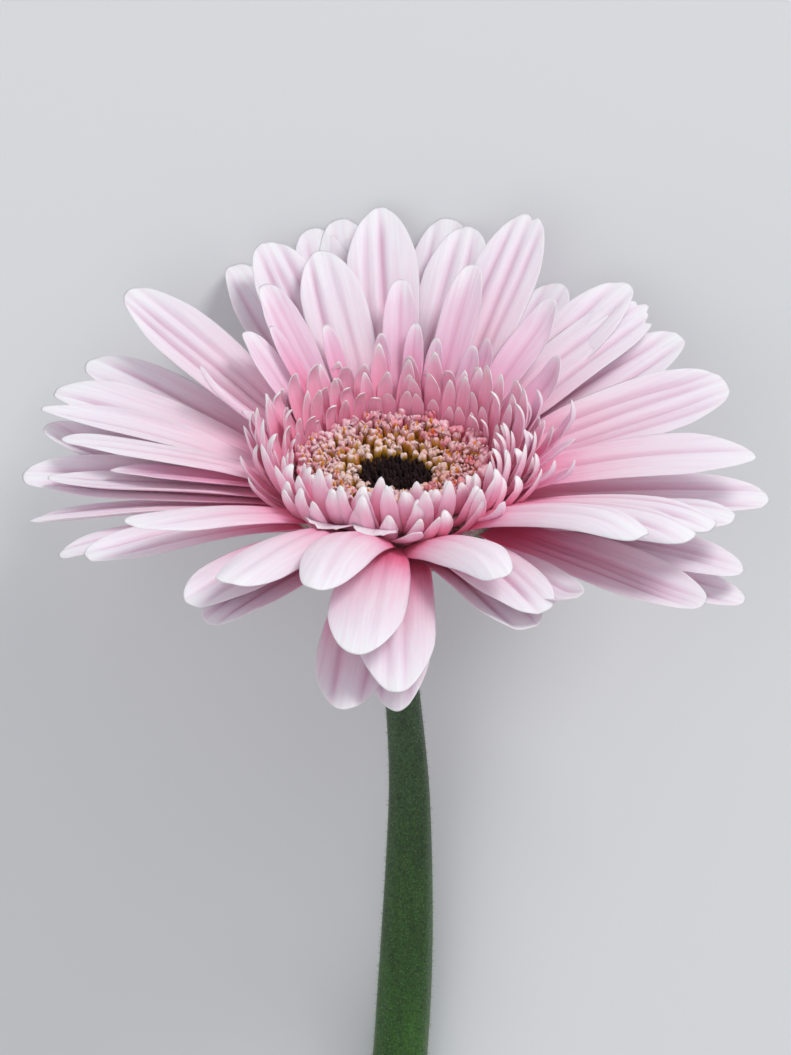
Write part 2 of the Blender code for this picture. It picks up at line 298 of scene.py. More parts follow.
def painted(tree, name):
    """The three values that a piece carries in a vector attribute."""
    layer = add(tree, "ShaderNodeAttribute", attribute_name=name)
    return add(tree, "ShaderNodeSeparateXYZ", {0: layer.outputs["Vector"]}).outputs


def grain(tree, where, stretch, scale=1.0, detail=2.0):
    """Soft noise, stretched by these shares along the three axes."""
    place = add(tree, "ShaderNodeMapping", {"Vector": where, "Scale": stretch})
    return add(tree, "ShaderNodeTexNoise", {"Vector": place, "Scale": scale, "Detail": detail})


def toned(tree, colour, pattern, amount, tone, low, high):
    """A colour darkened by a tone where the pattern is under low, and not at all over high."""
    ramp = add(tree, "ShaderNodeValToRGB", {0: pattern}, stops=((low, tone), (high, "#ffffff")))
    return add(tree, "ShaderNodeMix", {0: amount, 6: colour, 7: ramp}, **MULTIPLIED)


def cover(tree, shader, colour, height, strength, depth):
    """Gives a shader its colour, and a bump this many mm deep."""
    tree.links.new(out(colour), shader.inputs["Base Color"])
    bump = add(tree, "ShaderNodeBump", {"Height": height, "Strength": strength, "Distance": depth * MM})
    tree.links.new(out(bump), shader.inputs["Normal"])


# Living stem tissue: a waxy mid green that greys towards the neck, with paler ribs. The specks are
# drawn 0.5 mm wide and the streaks 1.6 mm. Pale dots 0.3 mm wide are painted highlights: light
# caught on the tips of the pale down.
stem_green, tree, shader = finish(
    "stem_tissue", Roughness=0.7, Subsurface_Weight=0.15, Subsurface_Radius=(0.3, 0.6, 0.15),
    Subsurface_Scale=MM, Sheen_Weight=0.2, Sheen_Roughness=0.5)
where = add(tree, "ShaderNodeTexCoord").outputs["Object"]
share = painted(tree, "marks")[0]
speckle = add(tree, "ShaderNodeTexNoise", {"Vector": where, "Scale": 1 / (0.5 * MM), "Detail": 3.0})
streak = grain(tree, where, (1, 0.12, 1), 1 / (1.6 * MM))
blotch = add(tree, "ShaderNodeTexNoise", {"Vector": where, "Scale": 1 / (14 * MM)})
scaled = add(tree, "ShaderNodeMath", {0: share, 1: 1 / ON_PINK_WALL}, operation="MULTIPLY")
green = add(tree, "ShaderNodeValToRGB", {0: scaled}, stops=(
    (0.0, "#b9c48a"), (0.3, "#c3cd94"), (0.335, "#3a6c12"), (0.575, "#306410"), (0.61, "#345a24"),
    (0.64, "#476246"), (0.7, "#5e7b56"), (0.86, "#8aa073"), (0.97, "#e3b3bd"), (1.0, "#ecb6c4")))
green = toned(tree, green, speckle, 0.8, "#8ea080", 0.35, 0.62)
green = toned(tree, green, streak, 0.6, "#a9b79c", 0.3, 0.65)
green = toned(tree, green, blotch, 0.6, "#d4dcc4", 0.35, 0.7)
# Painted highlight: pale dots on the green skin stand for light caught on the tips of the down
dots = add(tree, "ShaderNodeTexVoronoi", {"Vector": where, "Scale": 1 / (0.3 * MM)})
painted_hair_glints = add(tree, "ShaderNodeMapRange", {0: dots, 1: 0.05, 2: 0.35, 3: 0.45, 4: 0.0})
on_green = add(tree, "ShaderNodeMapRange", {0: share, 1: 2.0, 2: 2.4, 3: 1.0, 4: 0.0})
painted_hair_glints = add(tree, "ShaderNodeMath", {0: painted_hair_glints, 1: on_green}, operation="MULTIPLY")
with_painted_hair_glints = add(tree, "ShaderNodeMix", {0: painted_hair_glints, 6: green, 7: linear("#84a468")}, data_type="RGBA")
cover(tree, shader, with_painted_hair_glints, speckle, 0.7, 0.2)

stem = make_piece("stem_tissue", verts * MM, faces, stem_green, marks=marks)
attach(stem, "root")
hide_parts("stem")


# Stem hairs
# The short soft hairs that stand all over a gerbera's stem and give it a pale outline. They grow
# out of its skin. They are drawn at twice the real thickness, so that they show.

HAIRS_PER_MM2 = 2.6
HAIR_LENGTH = 0.5  # mm
HAIR_RADIUS = 0.03
HAIR_BEND = 0.35  # sideways at the tip, as a share of the length
HAIR_SPREAD = 0.6  # radians that one leans at most
HAIR_CLEARANCE = 0.02  # of the lowest hair tips from the table
HALF_TURN = 3.14


def new_tree(name, **inputs):
    """An empty Geometry Nodes tree with named inputs. Returns it and its input sockets."""
    tree = bpy.data.node_groups.new(name, "GeometryNodeTree")
    for label, kind in inputs.items():
        tree.interface.new_socket(label.replace("_", " "), in_out="INPUT", socket_type="NodeSocket" + kind)
    tree.interface.new_socket("Geometry", in_out="OUTPUT", socket_type="NodeSocketGeometry")
    return tree, tree.nodes.new("NodeGroupInput").outputs


def grow(tree, name, mesh=None, **values):
    """Runs a tree and gives its result as a plain mesh object."""
    source = bpy.data.objects.new(name + "_source", mesh or bpy.data.meshes.new(name))
    bpy.context.scene.collection.objects.link(source)
    modifier = source.modifiers.new("grow", "NODES")
    modifier.node_group = tree
    for item in tree.interface.items_tree:
        key = item.name.replace(" ", "_")
        if item.in_out == "INPUT" and key in values:
            modifier[item.identifier] = values[key]
    evaluated = source.evaluated_get(bpy.context.evaluated_depsgraph_get())
    made = bpy.data.objects.new(name, bpy.data.meshes.new_from_object(evaluated))
    made.data.shade_smooth()
    bpy.context.scene.collection.objects.link(made)
    source.modifiers.remove(modifier)
    bpy.data.objects.remove(source)
    return made


def dress(tree, given, geometry):
    """Ends a tree: makes its instances real and gives them their finish."""
    real = add(tree, "GeometryNodeRealizeInstances", {0: geometry})
    dressed = add(tree, "GeometryNodeSetMaterial", {"Geometry": real, "Material": given["Finish"]})
    add(tree, "NodeGroupOutput", {"Geometry": dressed})


tree, given = new_tree(
    "hairs", Geometry="Geometry", Density="Float", Length="Float", Radius="Float", Bend="Float",
    Spread="Float", Seed="Int", Finish="Material")
hair_tree = tree
hairy = add(tree, "GeometryNodeInputNamedAttribute", {"Name": "hairy"}, data_type="FLOAT_VECTOR")
hairy = add(tree, "ShaderNodeSeparateXYZ", {0: hairy})
thick = add(tree, "ShaderNodeMath", {0: hairy, 1: given["Density"]}, operation="MULTIPLY")
roots = add(tree, "GeometryNodeDistributePointsOnFaces",
            {"Mesh": given["Geometry"], "Density": thick, "Seed": given["Seed"]})
cone = add(tree, "GeometryNodeMeshCone",
           {"Vertices": 3, "Side Segments": 2, "Radius Top": 0.0, "Radius Bottom": given["Radius"],
            "Depth": given["Length"]}, fill_type="NONE")
spot = add(tree, "GeometryNodeInputPosition")
height = add(tree, "ShaderNodeSeparateXYZ", {0: spot}).outputs[2]
rise = add(tree, "ShaderNodeMath", {0: height, 1: given["Length"]}, operation="DIVIDE")
curve = add(tree, "ShaderNodeMath", {0: rise, 1: 2.0}, operation="POWER")
reach = add(tree, "ShaderNodeMath", {0: given["Length"], 1: given["Bend"]}, operation="MULTIPLY")
drift = add(tree, "ShaderNodeMath", {0: curve, 1: reach}, operation="MULTIPLY")
sideways = add(tree, "ShaderNodeCombineXYZ", {0: drift})
bent = add(tree, "GeometryNodeSetPosition", {"Geometry": cone, "Offset": sideways})
low = add(tree, "ShaderNodeMath", {0: 0.0, 1: given["Spread"]}, operation="SUBTRACT")
least = add(tree, "ShaderNodeCombineXYZ", {0: low, 1: low, 2: -HALF_TURN})
most = add(tree, "ShaderNodeCombineXYZ", {0: given["Spread"], 1: given["Spread"], 2: HALF_TURN})
tilt = add(tree, "FunctionNodeRandomValue", {0: least, 1: most, "Seed": 3}, data_type="FLOAT_VECTOR")
turned = add(tree, "FunctionNodeRotateRotation",
             {"Rotation": roots.outputs["Rotation"], "Rotate By": tilt}, rotation_space="LOCAL")
size = add(tree, "FunctionNodeRandomValue", {2: 0.5, 3: 1.25, "Seed": 5}, data_type="FLOAT")
dress(tree, given, add(
    tree, "GeometryNodeInstanceOnPoints",
    {"Points": roots, "Instance": bent, "Rotation": turned, "Scale": size}))

# Plant hair: clear to white, slightly glossy, with a green cast from the skin below
plant_hair, tree, shader = finish("plant_hair", Roughness=0.45)
where = add(tree, "ShaderNodeTexCoord").outputs["Object"]
cast = add(tree, "ShaderNodeTexNoise", {"Vector": where, "Scale": 1 / (2 * MM)})
paint = add(tree, "ShaderNodeValToRGB", {0: cast}, stops=((0.3, "#628c4e"), (0.7, "#9ab98a")))
tree.links.new(out(paint), shader.inputs["Base Color"])

skin = stem.data.copy()
layer = skin.attributes.new("hairy", "FLOAT_VECTOR", "POINT")
hairiness = np.zeros((len(verts), 3), np.float32)
hairiness[:, 0] = (marks[:, 0] >= ON_STEM) & (marks[:, 0] < ON_PINK_WALL)
layer.data.foreach_set("vector", hairiness.ravel())
hairs = grow(hair_tree, "stem_hairs", skin, Density=HAIRS_PER_MM2 / MM ** 2, Length=HAIR_LENGTH * MM,
             Radius=HAIR_RADIUS * MM, Bend=HAIR_BEND, Spread=HAIR_SPREAD, Seed=11, Finish=plant_hair)
hair_points = np.zeros(len(hairs.data.vertices) * 3, np.float32)
hairs.data.vertices.foreach_get("co", hair_points)
hair_points[2::3] = np.maximum(hair_points[2::3], HAIR_CLEARANCE * MM)
hairs.data.vertices.foreach_set("co", hair_points)
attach(hairs, "root")


# Outer petals
# The large ray florets, each a strap of soft tissue half a millimetre thick that is rooted on the
# rim of the receptacle by a narrow claw. Grooves run along them from claw to tip.

PETAL_THICK = 0.5
SEAT_GAP = 0.45
OUTER_WALL = 10  # so many points of the receptacle's wall are its outside
SWELL = 0.8
TWIST_OVER = 0.35
PETAL_GRID = (58, 33)  # points along and across
MIDDLE_STEPS = 240
CROSS_STEPS = 20
PLAIN_LOOK = dict(
    claw=0.42,  # width where it is rooted, as a share of its full width
    widest=0.66,  # where along its length a petal is widest
    point=2.4,  # how blunt the tip is: 2 is an ellipse
    cup=0.1, tip_cup=0.1,  # how far the edges turn up, along the blade and more at the tip
    left=0, right=0,  # degrees that the last part of each edge rolls up
    tip_bend=0, twist=0, sweep=0,
    veer=0,  # degrees that it points to the right of straight outward
    ruffle=0.1,  # mm
    grooves=((-0.36, 1.0), (0.34, 1.0)),  # place across, from -1 to 1, and strength
    groove_depth=0.5, groove_width=0.11,
    notches=(),  # in the tip: place across, depth and width
    rosy=0,  # how much further the pink runs out along the blade, as a share of it
)


def blade(row, look, thick, grid, seed):
    """A petal in its own frame, X outward and Z out of the face: vertices in mm, faces, and for
    each vertex where it is on the blade (mm across, mm along, seed) and how it is painted (share
    of the length, depth in a groove, 1 on top and 0 below)."""
    _, rise, length, width, _, curl, roll = row
    look = {**PLAIN_LOOK, **look}
    rows, columns = grid
    rng = np.random.default_rng(seed)
    phase = rng.uniform(0, 6.28, 4)
    t = np.linspace(-1, 1, columns)
    v = (0.6 * t + 0.4 * np.sin(0.5 * np.pi * t))[None, :]
    u = (1 - (1 - np.linspace(0, 1, rows)) ** 1.2)[:, None]
    widest = look["widest"]
    end = widest + (1 - widest) * np.sqrt(np.clip(1 - np.abs(v) ** look["point"], 0, 1))
    for at, deep, wide in look["notches"]:
        end = end - deep * np.exp(-((v - at) / wide) ** 2)
    s = u * end
    swell = look["claw"] + (1 - look["claw"]) * np.sin(0.5 * np.pi * np.clip(s / widest, 0, 1)) ** SWELL
    half = 0.5 * width * swell * (1 - 0.1 * ease((s - widest) / (1 - widest)))

    # Middle line
    steps = np.linspace(0, 1, MIDDLE_STEPS + 1)
    bend = look["tip_bend"] * ease((steps - 0.68) / 0.32) ** 1.3
    angle = np.radians(rise - curl / 2 + curl * steps + bend)
    run, climb = (
        np.concatenate(([0], np.cumsum((part[1:] + part[:-1]) / 2) / MIDDLE_STEPS)) * length
        for part in (np.cos(angle), np.sin(angle)))
    slope = np.interp(s, steps, angle)

    # Cross-section, added up outward from the middle line
    parts = (np.arange(CROSS_STEPS) + 0.5) / CROSS_STEPS
    vv = (v + 0 * s)[..., None] * parts
    lean = np.radians(roll * ease(s / TWIST_OVER) + look["twist"] * s ** 2)
    cup = look["cup"] + look["tip_cup"] * ease((s - 0.7) / 0.3)
    turn_up = ease((s - 0.12) / 0.4)
    phi = (lean[..., None] + 2 * cup[..., None] * vv
           + np.radians(look["left"]) * ease((vv - 0.5) / 0.5) * turn_up[..., None]
           - np.radians(look["right"]) * ease((-vv - 0.5) / 0.5) * turn_up[..., None])
    across = v * half * np.cos(phi).mean(-1)
    lift = v * half * np.sin(phi).mean(-1) - 0.5 * look["cup"] * half

    # Grooves, ruffle and the slight sideways sweep
    groove = 0 * s
    for at, deep in look["grooves"]:
        centre = at + 0.05 * np.sin(phase[0] + 3 * s + 5 * at)
        groove = groove + deep * np.exp(-((v - centre) / look["groove_width"]) ** 2)
    groove = groove * ease((s - 0.08) / 0.25) * (1 - 0.75 * ease((s - 0.8) / 0.2))
    ridges = 0.25 * np.cos(9.5 * v + phase[1]) * ease(s / 0.3) * (1 - v ** 2)
    lift = lift - look["groove_depth"] * (groove - 0.5 * ridges) * (width / 10.5)
    lift = lift + look["ruffle"] * np.abs(v) ** 2 * np.sin(phase[2] + 7 * s + 1.5 * v) * ease(s / 0.5)
    lift = lift + 0.9 * look["ruffle"] * np.sin(phase[3] + 4.5 * s) * ease(s / 0.4) * (1 - s)
    across = across + look["sweep"] * length * (s * s - s)
    points = np.stack((
        np.interp(s, steps, run) - lift * np.sin(slope), across,
        np.interp(s, steps, climb) + lift * np.cos(slope)), -1)
    points = points @ np.array(Matrix.Rotation(math.radians(look["veer"]), 3, "Z")).T

    # Two sheets that share their rim
    normal = np.cross(np.gradient(points, axis=0), np.gradient(points, axis=1))
    normal /= np.maximum(np.linalg.norm(normal, axis=-1, keepdims=True), 1e-9)
    body = thick * (1 - 0.4 * s) * np.sqrt(np.clip((1 - np.abs(v) ** 5) * (1 - u ** 24), 0, 1))
    offset = normal * body[..., None] / 2
    inner = (slice(1, -1), slice(1, -1))
    top_points = points.copy()
    top_points[inner] += offset[inner]
    top = np.arange(rows * columns).reshape(rows, columns)
    under = top.copy()
    under[inner] = rows * columns + np.arange((rows - 2) * (columns - 2)).reshape(rows - 2, columns - 2)
    verts = np.vstack((top_points.reshape(-1, 3), (points - offset)[inner].reshape(-1, 3)))
    quads = [
        np.stack((g[:-1, :-1], g[1:, :-1], g[1:, 1:], g[:-1, 1:]), -1).reshape(-1, 4)
        for g in (top, under)]
    faces = np.vstack((quads[0], quads[1][:, ::-1]))
    side = np.ones_like(s)
    side[0], side[-1], side[:, 0], side[:, -1] = 0.5, 0.5, 0.5, 0.5
    where = np.stack((v * half, s * length, 0 * s + seed % 97), -1)
    paint = np.stack((s - look["rosy"] * (1 - s * s), groove, side), -1)
    below = paint[inner].reshape(-1, 3).copy()
    below[:, 2] = 0
    where = np.vstack((where.reshape(-1, 3), where[inner].reshape(-1, 3)))
    paint = np.vstack((paint.reshape(-1, 3), below))
    return verts, faces, where, paint


def seated(verts, row):
    """Puts a petal on the receptacle. Takes mm and gives metres in the row frame."""
    bearing, seat = math.radians(row[0]), row[4]
    heights, widths = zip(*RECEPTACLE_WALL[:OUTER_WALL])
    radius = float(np.interp(seat, heights, widths)) + SEAT_GAP
    foot = Matrix.Translation(Vector((radius * math.sin(bearing), -radius * math.cos(bearing), seat)) * MM)
    place = np.array(HEAD_PLACE @ foot @ Matrix.Rotation(bearing - math.pi / 2, 4, "Z"))
    return verts * MM @ place[:3, :3].T + place[:3, 3]


def petal_finish(name, stops, under, tint, deep=0.4, under_mix=0.55, outside=0.0, glow=0.5, reach=0.6):
    """Living petal: soft, matt, slightly see-through tissue. The colour runs from claw to tip,
    broken up by fine streaks 0.5 mm wide that follow the blade. In the grooves it is darkened
    towards the tint, a painted shade."""
    made, tree, shader = finish(
        name, Roughness=0.52, Subsurface_Weight=glow, Subsurface_Radius=(1.0, 0.75, 0.8),
        Subsurface_Scale=reach * MM, Specular_IOR_Level=0.35, Sheen_Weight=0.12)
    on_blade = add(tree, "ShaderNodeAttribute", attribute_name="where").outputs["Vector"]
    share, groove, side = painted(tree, "paint")
    streak = grain(tree, on_blade, (2.0, 0.09, 1))
    cloud = grain(tree, on_blade, (0.25, 0.12, 1))
    both = add(tree, "ShaderNodeMath", {0: streak, 1: cloud}, operation="ADD")
    wobble = add(tree, "ShaderNodeMapRange", {0: both, 1: 0.6, 2: 1.4, 3: -0.045, 4: 0.045})
    back = add(tree, "ShaderNodeMath", {0: 1.0, 1: side}, operation="SUBTRACT", use_clamp=True)
    ahead = add(tree, "ShaderNodeMath", {0: back, 1: outside, 2: wobble}, operation="MULTIPLY_ADD")
    moved = add(tree, "ShaderNodeMath", {0: share, 1: ahead}, operation="ADD")
    base = add(tree, "ShaderNodeValToRGB", {0: moved}, stops=stops)
    # Painted shade: the grooves are darkened towards the tint, as if shade lay in them
    painted_groove_shade = add(tree, "ShaderNodeMath", {0: groove, 1: deep}, operation="MULTIPLY", use_clamp=True)
    with_groove_shade = add(tree, "ShaderNodeMix", {0: painted_groove_shade, 6: base, 7: linear(tint)}, **MULTIPLIED)
    veined = toned(tree, with_groove_shade, streak, 0.5, "#faeef4", 0.3, 0.6)
    back = add(tree, "ShaderNodeMath", {0: back, 1: under_mix}, operation="MULTIPLY")
    sided = add(tree, "ShaderNodeMix", {0: back, 6: veined, 7: linear(under)}, data_type="RGBA")
    cover(tree, shader, sided, grain(tree, on_blade, (4.5, 0.25, 1), detail=3.0), 0.35, 0.1)
    return made


petal_tissue = petal_finish("petal_tissue", (
    (0.0, "#e8668f"), (0.1, "#ef8bae"), (0.2, "#f2adc8"), (0.34, "#f2c8da"), (0.55, "#f2dde8"),
    (0.8, "#f4eaf3"), (1.0, "#f9f5fb")), under="#eccfdc", tint="#d8a6c0", deep=0.5)

# name: (bearing, rise, length, width, seat, curl, roll), look
OUTER_PETALS = {
    "01": ((-177.5, 30.5, 42.5, 11.6, 0.4, -8, 0), dict(point=1.7, grooves=((0.03, 1.5), (0.4, 0.6)))),
    "02": ((-171.0, 27.8, 45.0, 11.0, -2.8, -6, 0), {}),
    "03": ((-166.1, 26, 42.5, 11.0, -0.8, -6, 0), {}),
    "04": ((-164.5, 33, 33.0, 10.4, 1.2, -6, -4), dict(point=1.8, grooves=((0.45, 1.3), (-0.25, 0.5)))),
    "05": ((-156.5, 27.4, 39.0, 11.6, 0.6, -10, 0), dict(grooves=((0.35, 1.2), (0, 1), (-0.35, 1.2)))),
    "06": ((-153.3, 19.3, 43.1, 10.6, -1.6, -6, 0), dict(tip_cup=0.3)),
    "07": ((-131.3, 20.4, 41.5, 10.4, 0.2, -8, -14), dict(grooves=((0.1, 1.1), (0.42, 1.1), (-0.3, 0.6)))),
    "08": ((-122.0, 13, 41.6, 10.4, -3.2, -8, -12), {}),
    "09": ((-110.5, 12, 40.0, 10.8, -1.5, -10, -4), dict(grooves=((0.05, 1.2),), right=25, tip_cup=0.2)),
    "10": ((-101.5, 12, 39.0, 8.0, -1.0, -24, 8), dict(right=75, grooves=((0.2, 0.8),), rosy=-0.1)),
    "11": ((-99.5, 11.3, 38.5, 10.0, -3.2, -4, -8), dict(cup=0.25, tip_cup=0.3, tip_bend=15)),
    "12": ((-91.5, 10.8, 33.5, 9.6, 1.3, -12, 12), dict(
        cup=-0.12, grooves=((0.0, 0.5), (0.5, 0.6)), rosy=-0.12)),
    "13": ((-87.0, 7, 39.0, 10.8, -1.4, -14, -6), dict(right=110)),
    "14": ((-83.0, 7.4, 35.0, 7.0, 0.1, -4, 8), dict(left=20, right=30)),
    "15": ((-78.0, 5, 39.0, 9.6, -2.8, -22, 18), dict(point=1.6)),
    "16": ((-68.0, 5.5, 36.5, 9.4, -3.0, -14, 10), dict(tip_bend=-10)),
    "17": ((-60.0, 6, 34.5, 10.0, -1.4, -22, 4), {}),
    "18": ((-51, 16.5, 33, 9.8, 0.8, -20, 6), dict(cup=-0.14, grooves=((0.3, 0.6),))),
    "19": ((-36, 8, 32, 10.6, -1.2, -18, 0), dict(grooves=((0.2, 0.7), (-0.3, 0.6)), rosy=0.1)),
    "20": ((-32.7, 8, 32, 9.6, -3, -14, 0), dict(rosy=0.1)),
    "21": ((-27.6, 13.2, 34.7, 9.6, 0.9, -26, 0), dict(
        point=2.5, grooves=((0.0, 0.4),), cup=-0.25, tip_cup=-0.1)),
    "22": ((-10, 17.5, 33.5, 9.8, -0.4, -48, -4), dict(
        claw=0.8, widest=0.6, point=2.3, cup=-0.28, tip_cup=-0.15, grooves=((0.1, 0.4),), rosy=0.15,
        veer=-5)),
    "23": ((-7.2, -2.6, 40.0, 10.8, -2.2, -14, 0), dict(point=1.9, cup=-0.08, rosy=0.22)),
    "24": ((-5.2, 8.6, 40.0, 11.0, -0.6, -24, 0), dict(
        claw=0.5, point=2.1, cup=-0.16, grooves=((0.3, 0.3), (-0.2, 0.3)), rosy=0.22)),
    "25": ((0.2, 3.2, 41.0, 11.2, -1.6, -22, 0), dict(
        claw=0.85, point=1.9, cup=-0.1, grooves=((0.25, 0.5), (-0.25, 0.5)), rosy=0.22)),
    "26": ((0.2, 1, 39.5, 9.8, -4.4, -14, 0), dict(point=1.8, rosy=0.2)),
    "27": ((13, 22.5, 31, 9.8, -1.2, -27, 8), dict(
        claw=1.0, widest=0.5, grooves=((0.0, 0.3),), point=3.0, cup=-0.3, tip_cup=-0.15,
        tip_bend=-20, rosy=0.15, veer=9)),
    "28": ((22.1, 9.2, 33, 10, -2.2, -20, 0), dict(claw=0.8, rosy=0.15)),
    "29": ((24.2, 11, 33, 10.4, -0.6, -24, 0), dict(
        claw=0.8, grooves=((-0.1, 1.3), (0.4, 0.7)), rosy=0.16, cup=-0.08)),
    "30": ((30.2, 10, 34, 9.8, -1.6, -18, 0), dict(tip_bend=30, tip_cup=0.3, rosy=0.15)),
    "31": ((45.5, 20, 33.8, 10.4, 1.1, -24, -4), dict(
        claw=0.75, grooves=((0.3, 0.4), (-0.3, 0.3)), point=2.7, cup=-0.3, tip_cup=-0.25,
        tip_bend=-25, rosy=0.06)),
    "32": ((55.0, -1, 36.8, 11.2, -1.8, -14, 2), dict(
        grooves=((0.3, 1), (0, 1), (-0.35, 1)), left=25, rosy=0.12)),
    "33": ((56.0, 13.2, 35.0, 10.4, 0.8, -22, -2), dict(
        point=2.7, cup=-0.28, tip_cup=-0.2, right=-35, tip_bend=-20, rosy=0.06)),
    "34": ((63.5, 12, 35.0, 10.0, 0.2, -18, 0), dict(point=2.7, cup=-0.26, tip_cup=-0.2, tip_bend=-20)),
    "35": ((67.0, -4, 40.0, 9.4, -4.4, -10, 4), {}),
    "36": ((69.0, 0, 38.0, 10.6, -3.0, -16, 2), dict(grooves=((0.3, 0.8), (-0.1, 0.6)), rosy=0.06)),
    "37": ((71.5, 11.4, 36.0, 10.2, -2.4, -6, 2), dict(point=2.6, cup=-0.24, tip_bend=-15)),
    "38": ((85.0, 3.2, 39.0, 10.6, -1.2, -6, 8), dict(claw=0.7)),
    "39": ((86.0, 9.5, 37.4, 11.4, 1.2, -22, 3), dict(point=1.7, grooves=((0.25, 0.8),), left=10)),
    "40": ((110.2, 10.3, 38, 12.4, 0.9, -10, 18), dict(
        grooves=((0.5, 1), (0.15, 1), (-0.2, 1), (-0.5, 0.8)))),
    "41": ((126.2, 14.7, 40, 11.2, -1.6, -8, 6), {}),
    "42": ((133.5, 15, 40, 11.6, 1.1, -14, 6), dict(
        point=2.6, notches=((-0.15, 0.03, 0.1), (-0.45, 0.07, 0.2), (0.3, 0.02, 0.08)), ruffle=0.3)),
    "43": ((138.8, 20.2, 41.5, 11.0, -0.6, -4, 4), {}),
    "44": ((152.0, 15.2, 41.4, 11.0, -1.8, -6, 0), dict(tip_bend=8)),
    "45": ((155.0, 33.5, 41.0, 11.2, 0.6, -8, 4), dict(
        grooves=((0.4, 1), (0, 1.1), (-0.4, 0.9)), notches=((-0.1, 0.025, 0.08),), point=2.3)),
    "46": ((167.0, 28, 40.0, 11.0, 0.3, -8, 0), dict(grooves=((0.3, 1), (-0.25, 1)))),
    "47": ((171.2, 26.1, 43.9, 11.0, -1.4, -6, 0), dict(tip_bend=8)),
}
for name, (row, look) in OUTER_PETALS.items():
    seed = int(name)
    rng = np.random.default_rng(1000 + seed)
    drawn = dict(
        point=rng.uniform(2.1, 2.7), sweep=rng.uniform(-0.02, 0.02), tip_bend=rng.uniform(-8, 8),
        rosy=0.09 * math.cos(math.radians(row[0])),
        grooves=((rng.uniform(-0.42, -0.28), 0.9), (rng.uniform(0.26, 0.42), 0.9)))
    verts, faces, where, paint = blade(row, {**drawn, **look}, PETAL_THICK, PETAL_GRID, seed)
    ray = make_piece("ray_" + name, seated(verts, row), faces, petal_tissue, where=where, paint=paint)
    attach(ray, "root")
    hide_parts("petal_" + name)


# Inner petals
# The second whorl: shorter, narrower ray florets between the large ones and the crown, pinker
# and more cupped, rooted just inside the rim.

INNER_THICK = 0.45
INNER_GRID = (40, 21)
inner_tissue = petal_finish("inner_petal_tissue", (
    (0.0, "#e0608e"), (0.2, "#ea86aa"), (0.45, "#eea8c6"), (0.7, "#efc3da"), (0.9, "#f3dbe9"),
    (1.0, "#f9f3fa")), under="#efccdd", tint="#dc98b8", deep=0.35, under_mix=0.4, outside=0.12)
CUPPED = dict(
    cup=0.22, tip_cup=0.3, grooves=((0.0, 0.9),), groove_width=0.16, groove_depth=0.15, ruffle=0.06)
INNER_PETALS = {
    "01": ((-148.0, 37, 27.0, 6.4, 1.7, -6, -4), dict(grooves=((0.25, 1), (-0.25, 0.8)), rosy=-0.3)),
    "02": ((-136.5, 37, 21.0, 5.4, 1.2, -6, 4), dict(rosy=-0.3)),
    "03": ((-120.0, 25, 20.5, 3.0, 1.9, 24, 20), dict(claw=0.3, cup=0.4, tip_bend=30, rosy=-0.4)),
    "04": ((-84.0, 10, 26.0, 4.6, 1.0, -6, 0), dict(point=1.4)),
    "05": ((178.5, 42, 24.0, 5.6, 1.7, -6, 0), dict(rosy=-0.25)),
    "06": ((160.6, 42, 27.5, 6.4, 1.7, -6, 0), dict(rosy=-0.3)),
    "07": ((140.5, 30.5, 26.5, 6.2, 1.7, -14, 8), dict(tip_bend=35, tip_cup=0.5, rosy=-0.25)),
    "08": ((124.0, 37, 18.2, 5.2, 1.7, 24, 0), dict(cup=0.35, tip_bend=40)),
}
for name, (row, look) in INNER_PETALS.items():
    verts, faces, where, paint = blade(row, {**CUPPED, **look}, INNER_THICK, INNER_GRID, 100 + int(name))
    ray = make_piece("inner_ray_" + name, seated(verts, row), faces, inner_tissue, where=where, paint=paint)
    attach(ray, "root")
    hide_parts("inner_petal_" + name)


# Smallest petals
# Stray ray florets of the second whorl, 8 to 19 mm long. They stand among the crown, many with a
# hooked white tip, and two at the front are flat with torn ends.

SMALLEST_THICK = 0.36
SMALLEST_GRID = (26, 13)
HOOKED = dict(cup=0.45, tip_cup=0.4, tip_bend=55)
TORN = dict(
    claw=0.8, rosy=-0.55, cup=0.1, point=3.5, ruffle=0.5,
    notches=((0.3, 0.16, 0.12), (-0.35, 0.1, 0.1), (0.0, 0.06, 0.06)))
SMALLEST_PETALS = (  # bearing, rise, length, width, seat, curl, roll, then the look
    ((-143, 36, 18.7, 3.0, 3.2, 4, 0), {}),
    ((-158.5, 43, 17.2, 3.2, 1.8, 4, 0), {}),
    ((185.2, 53, 14.3, 2.8, 1.8, 10, 0), dict(tip_bend=45)),
    ((173.2, 49, 16, 3.4, 1.8, 6, 0), {}),
    ((165.5, 46, 14, 3.0, 1.8, 8, 0), dict(tip_bend=25)),
    ((151.7, 46, 13.8, 3.6, 1.8, 10, 0), dict(tip_bend=30)),
    ((147.7, 44, 16, 3.0, 1.6, 12, 0), dict(tip_bend=50)),
    ((108, 56, 13, 3.0, 1.9, 30, 0), HOOKED),
    ((108.5, 59, 10.5, 2.8, 2.0, 30, 0), HOOKED),
    ((81, 68, 10, 2.8, 2.2, 30, 0), HOOKED),
    ((90.7, 48, 17, 3.2, 1.6, 30, 0), HOOKED),
    ((77.5, 43, 14, 3.2, 2.0, 10, 0), dict(point=1.4, cup=0.4)),
    ((67.4, 35.5, 12, 2.6, 2.2, 20, 0), HOOKED),
    ((71.5, 28.4, 14, 2.6, 1.8, 16, 0), HOOKED),
    ((38.4, 32.7, 11, 3.2, 1.8, 20, 0), HOOKED),
    ((-120.7, 20.7, 11, 2.2, 1.8, 10, 0), {}),
    ((-26.0, 27, 8.4, 8.2, 1.4, -44, 2), TORN),
    ((-8.0, 27, 8.8, 6.6, 1.4, -50, 0), TORN),
    ((-2, 30, 9.6, 3.8, 0.7, 24, -10), dict(claw=0.8, tip_bend=30, veer=30, rosy=-0.2)),
)
heap = []
